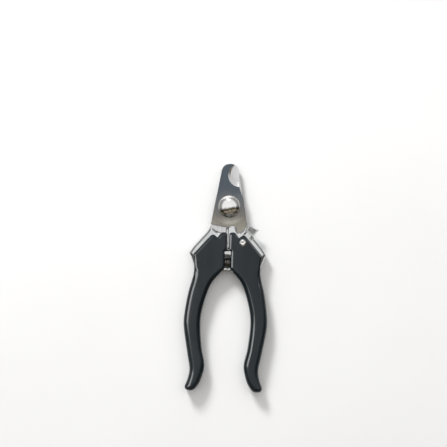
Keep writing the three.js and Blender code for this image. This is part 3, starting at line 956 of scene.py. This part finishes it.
def cap_profile(radius, bottom, rise, steps=16):
    """Points of a round cap from its rim up to the axis."""
    ball = (radius * radius + rise * rise) / (2 * rise)
    widest = math.asin(radius / ball)
    angles = [widest * (1 - step / steps) for step in range(steps + 1)]
    return [(ball * math.sin(angle), bottom + rise - ball * (1 - math.cos(angle))) for angle in angles]


def add_dome_nut():
    nut = lathe("dome_nut_look", [
        (0, 2.4), (2.7, 2.4), (2.7, 0.15), (2.85, 0), (5.5, 0), (5.75, 0.12), (5.86, 0.3), (5.82, 0.5),
        (5.9, 0.62), (5.94, 0.72), (5.9, 0.8), *cap_profile(5.82, 0.86, 2.52, 30),
    ], BRIGHT, (0, 0, NUT_BOTTOM), count=160)
    stands_for(nut, "root", "bright_hardware", "dome_nut")


def add_washers():
    """Dished washers with a rolled rim, the rear one facing back."""
    section = [
        (2.7, 0.1), (2.8, 0), (6.1, 0.02), (6.23, 0.14), (6.27, 0.3), (6.23, 0.44), (6.12, 0.49), (5.9, 0.45),
        (5.2, 0.3), (2.8, 0.28), (2.7, 0.2), (2.7, 0.1),
    ]
    for name, (face_z, facing) in WASHER_FACES.items():
        profile = [(radius, facing * height) for radius, height in section][::facing]
        washer = lathe(f"{name}_look", profile, WASHER, (0, 0, face_z), count=128)
        stands_for(washer, "root", "bright_hardware", name)


def box_cutter(low, high, turn=0.0, at=(0, 0)):
    """A plain block to cut with, turned about its place."""
    corners = [(low[0], low[1]), (high[0], low[1]), (high[0], high[1]), (low[0], high[1])]
    turned = [
        (x * math.cos(turn) - y * math.sin(turn) + at[0], x * math.sin(turn) + y * math.cos(turn) + at[1])
        for x, y in corners
    ]
    return prism(np.array(turned), low[2], high[2])


def add_pivot_bolt():
    """The bolt, with a slot across its low round-edged head at the back."""
    bolt = lathe("pivot_bolt_look", [
        (0, BOLT_HEAD_BOTTOM + 0.05), (1.4, BOLT_HEAD_BOTTOM), (3.9, BOLT_HEAD_BOTTOM + 0.02),
        (4.35, BOLT_HEAD_BOTTOM + 0.08), (4.75, BOLT_HEAD_BOTTOM + 0.25), (5.05, BOLT_HEAD_BOTTOM + 0.45),
        (BOLT_HEAD_RADIUS, BOLT_HEAD_BOTTOM + 0.7), (BOLT_HEAD_RADIUS, BOLT_HEAD_TOP - 0.12),
        (BOLT_HEAD_RADIUS - 0.12, BOLT_HEAD_TOP), (BOLT_RADIUS, BOLT_HEAD_TOP), (BOLT_RADIUS, BOLT_TOP - 0.3),
        (BOLT_RADIUS - 0.3, BOLT_TOP), (0, BOLT_TOP),
    ], BRIGHT, (0, 0, 0), count=128)
    combine(bolt, [box_cutter((-6, -0.6, 0), (6, 0.6, BOLT_HEAD_BOTTOM + 0.6), 0.35)], "DIFFERENCE")
    stands_for(bolt, "root", "bright_hardware", "pivot_bolt")


def add_grip_screw(name, body, centre, turn):
    """A slotted screw that stands on its domed head in the back of a grip."""
    screw = lathe(f"{name}_look", [
        (0, 0.02), (1.0, 0.03), (1.5, 0.1), (1.85, 0.24), (2.05, 0.42), (2.1, 0.6), (2.1, 1.12), (2.02, 1.2),
        (1.0, 1.2), (1.0, 6.1), (0.62, 6.7), (0, 7.0),
    ], BRIGHT, (*centre, SCREW_BOTTOM), count=64)
    slot = box_cutter((-2.5, -0.3, SCREW_BOTTOM - 1), (2.5, 0.3, SCREW_BOTTOM + 0.55), turn, centre)
    combine(screw, [slot], "DIFFERENCE")
    stands_for(screw, body, "bright_hardware", name)


def add_tang_rivet(side, body, turned):
    rivet = lathe(f"{side}_tang_rivet_look", [
        (0, 0), (0.72, 0), (0.9, 0.16), (0.9, 6.04), (0.72, 6.2), (0, 6.2),
    ], SHADED_WIRE, (*TANG_RIVET_AT, TANG_RIVET_BOTTOM), count=40, turned=turned)
    stands_for(rivet, body, "spring_steel", f"{side}_tang_rivet")


def add_spring_seat(side, body, outward):
    """A flange whose boss stands in one end of the spring, with its flat back to the handle."""
    seat = lathe(f"{side}_spring_seat_look", [
        (0, 0), (2.43, 0), (2.55, 0.12), (2.55, 0.58), (2.43, 0.7), (1.45, 0.7), (1.3, 0.85), (1.3, 2.4),
        (1.0, 2.7), (0, 2.7),
    ], BRIGHT, (0, 0, 0), axis="X", count=48)
    back = SPRING_HALF_LENGTH + SEAT_THICKNESS + GAP
    for vert in seat.data.vertices:
        x, y, z = vert.co.x / MM, vert.co.y / MM - PIVOT_Y, vert.co.z / MM
        vert.co = place((outward * (back - x), y + SPRING_Y, z + MIDDLE))
    stands_for(seat, body, "bright_hardware", f"{side}_spring_seat")


def add_lock_rivet():
    """The rivet with its domed head to the front and a dimple in the middle of it."""
    rivet = lathe("lock_rivet_look", [
        (0, 0.5), (1.6, 0.5), (1.9, 0.7), (1.9, 1.4), (1.8, 1.5), (1.1, 1.5), (1.1, LOCK_RIVET_TOP),
        (1.84, LOCK_RIVET_TOP), (1.9, LOCK_RIVET_TOP + 0.1),
        *cap_profile(1.84, LOCK_RIVET_TOP + 0.16, 0.74, 12)[:6], (1.0, LOCK_RIVET_TOP + 0.68),
        (0.85, LOCK_RIVET_TOP + 0.66), (0.6, LOCK_RIVET_TOP + 0.57), (0.3, LOCK_RIVET_TOP + 0.51),
        (0, LOCK_RIVET_TOP + 0.5),
    ], BRIGHT, (*LOCK_PIVOT, 0), count=72)
    stands_for(rivet, "right_half", "bright_hardware", "lock_rivet")


def add_catch_pin():
    pin = lathe("lock_catch_pin_look", [
        (0, 0), (0.58, 0), (0.7, 0.12), (0.7, 2.95), (0.55, 3.1), (0, 3.1),
    ], BRIGHT, CATCH_PIN_PLACE, count=40)
    stands_for(pin, "root", "bright_hardware", "lock_catch_pin")


add_dome_nut()
add_washers()
add_pivot_bolt()
for level, (screw_x, screw_y) in SCREW_PLACES.items():
    add_grip_screw(f"right_{level}_grip_screw", "right_half", (screw_x, screw_y), screw_y)
    add_grip_screw(f"left_{level}_grip_screw", "root", (-screw_x, screw_y), screw_y + 1)
for side, body, turned, outward in (("right", "right_half", False, 1), ("left", "root", True, -1)):
    add_tang_rivet(side, body, turned)
    add_spring_seat(side, body, outward)
add_lock_rivet()
add_catch_pin()


def add_wave_washer():
    """A thin ring whose height waves three times round."""
    inner, outer, count, rows = 1.42, 2.38, 96, 6
    verts, faces = [], []
    for level in (0.0, 0.16):
        for row in range(rows):
            radius = inner + (outer - inner) * row / (rows - 1)
            for step in range(count):
                angle = 2 * math.pi * step / count
                wave = 8.12 + 0.1 * (1 + math.sin(3 * angle)) + level
                verts.append((
                    LOCK_PIVOT[0] + radius * math.cos(angle), LOCK_PIVOT[1] + radius * math.sin(angle), wave
                ))
    sheet = rows * count
    for step in range(count):
        after = (step + 1) % count
        for row in range(rows - 1):
            a, b = row * count + step, row * count + after
            faces.append([a + sheet, a + sheet + count, b + sheet + count, b + sheet])
            faces.append([b, b + count, a + count, a])
        rim = (rows - 1) * count
        faces.append([step, step + sheet, after + sheet, after])
        faces.append([rim + after, rim + after + sheet, rim + step + sheet, rim + step])
    ring = add_mesh("lock_wave_washer_look", verts, faces, SHADED_WIRE)
    stands_for(ring, "right_half", "spring_steel", "lock_wave_washer")


add_wave_washer()


# ------------------------------------------------------------------ return spring


def tube(name, path, radius, material, sides=16):
    """A closed round wire along a path of points in pivot millimetres."""
    verts, faces = [], []
    path = [Vector(point) for point in path]
    for index, point in enumerate(path):
        along = (path[min(index + 1, len(path) - 1)] - path[max(index - 1, 0)]).normalized()
        side = along.cross(Vector((1, 0, 0))).normalized()
        up = side.cross(along)
        for step in range(sides):
            angle = 2 * math.pi * step / sides
            verts.append(tuple(point + radius * (math.cos(angle) * side + math.sin(angle) * up)))
    for index in range(len(path) - 1):
        for step in range(sides):
            a, b = index * sides + step, index * sides + (step + 1) % sides
            faces.append([a, b, b + sides, a + sides])
    faces.append(list(range(sides))[::-1])
    faces.append([len(verts) - sides + step for step in range(sides)])
    return add_mesh(name, verts, faces, material, sharp=50)


def spring_path():
    """A compression coil with its last turns closed up against the seats."""
    steps = int(SPRING_TURNS * 40)
    reach = SPRING_HALF_LENGTH - SPRING_WIRE - SKIN
    path = []
    for step in range(steps + 1):
        t = 2 * step / steps - 1
        x = reach * (0.72 * t + 0.28 * t ** 5)
        angle = (t + 1) / 2 * SPRING_TURNS * 2 * math.pi
        path.append((
            x, SPRING_Y + SPRING_RADIUS * math.cos(angle), MIDDLE + SPRING_RADIUS * math.sin(angle)
        ))
    return path


spring = tube("return_spring_look", spring_path(), SPRING_WIRE - SKIN, SHADED_WIRE)
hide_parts("return_spring")
place((-SPRING_HALF_LENGTH, SPRING_Y, MIDDLE))
place((SPRING_HALF_LENGTH, SPRING_Y, MIDDLE))
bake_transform(spring)


# ------------------------------------------------------------------ lock lever


def capsule(start, end, half_width):
    """The outline of a bar with round ends."""
    start, end = Vector(start), Vector(end)
    heading = math.degrees(math.atan2(end.y - start.y, end.x - start.x))
    side = Vector((math.cos(math.radians(heading - 90)), math.sin(math.radians(heading - 90)))) * half_width
    return (
        Outline(*(start + side)).line(tuple(end + side)).arc(end, half_width, heading - 90, heading + 90)
        .arc(start, half_width, heading + 90, heading + 270).loop()
    )


def tab_outline():
    """The thumb tab along the shoulder and out from it, with a hollow far edge and sharp ends."""
    along = (TAB_END - TAB_START).normalized()
    out = Vector((-along.y, along.x))
    length = (TAB_END - TAB_START).length

    def at(x, y):
        return tuple(TAB_START + along * x + out * y)

    return (
        Outline(*at(0.2, -0.9)).line(at(-0.9, TAB_REACH - 0.6))
        .quad(at(length / 2, TAB_REACH - 0.9), at(length - 0.2, TAB_REACH + 0.9))
        .line(at(length - 0.2, -0.9), at(0.2, -0.9)).loop()
    )


def sheet_faces(bottom, top, edge=0.16):
    """Top and bottom of a stamped sheet, rolled over at the top edge and broken at the bottom one."""
    return rounded(top, edge * 1.6, edge), lambda points, distance: bottom + np.clip(0.1 - distance, 0, 1)


def tab_face(points, distance):
    """The tab's top: a smooth rim round a face whose ridges run along the tab."""
    along = (TAB_END - TAB_START).normalized()
    out = Vector((-along.y, along.x))
    reach = (points - np.array(TAB_START)) @ np.array(out)
    ridge = 0.5 - 0.5 * np.cos(reach * 2 * math.pi / RIDGE_PITCH)
    inside = np.clip((distance - 0.5) / 0.25, 0, 1)
    rim = np.clip(1 - distance / TAB_RIM, 0, 1) ** 2
    return TAB_TOP - SKIN - TAB_RIM * rim - RIDGE_DEPTH * inside * ridge


def add_lever():
    """The lever, joined from a hub, bars, a barb and the tab. Each bar is a hair thinner than the last, so
    that no two of their faces lie in one plane."""
    foot = (TAB_START + TAB_END) / 2
    corner = (HOOK_TIP_X, HOOK_Y)
    bars = [
        capsule(LOCK_PIVOT, foot, 1.7), capsule(LOCK_PIVOT, LEVER_ELBOW, 1.3),
        capsule(LEVER_ELBOW, corner, 0.95), capsule(corner, (HOOK_TIP_X, HOOK_BARB_TOP), 0.7),
    ]
    fine_rings = (0.05, 0.12, 0.2, 0.3, 0.5)
    hub = circle(LOCK_PIVOT, LEVER_HUB_RADIUS, 72)
    upper, lower = sheet_faces(LEVER_BOTTOM, LEVER_TOP)
    lever = relief("lock_lever_look", hub, upper, lower, SHEET, rings=fine_rings, grid=0.6)
    arms = []
    for index, outline in enumerate(bars):
        inset = 0.004 * (index + 1)
        upper, lower = sheet_faces(LEVER_BOTTOM + inset, LEVER_TOP - inset)
        arms.append(relief("arm", outline, upper, lower, SHEET, rings=fine_rings, grid=0.6))
    arms.append(relief(
        "tab", tab_outline(), tab_face,
        lambda points, distance: TAB_BOTTOM + SKIN + np.clip(0.25 - distance, 0, 1),
        SHEET, rings=(0.06, 0.14, 0.22, 0.3, 0.4, 0.5, 0.56), grid=0.22,
    ))
    combine(lever, arms, "UNION")
    lever.data.materials.append(KNURL)
    edge = tab_outline()
    for face in lever.data.polygons:
        spot = np.array([[face.center.x / MM, face.center.y / MM - PIVOT_Y]])
        ridged = face.center.z / MM > 7.9 and is_inside(spot, edge)[0] and distance_to(spot, edge)[0] > 0.55
        face.material_index = int(ridged)
    combine(lever, [prism(circle(LOCK_PIVOT, LOCK_RIVET_HOLE_RADIUS), 0, THICKNESS)], "DIFFERENCE")
    stands_for(lever, "lock_lever", "lever_steel", "lock_lever")


add_lever()
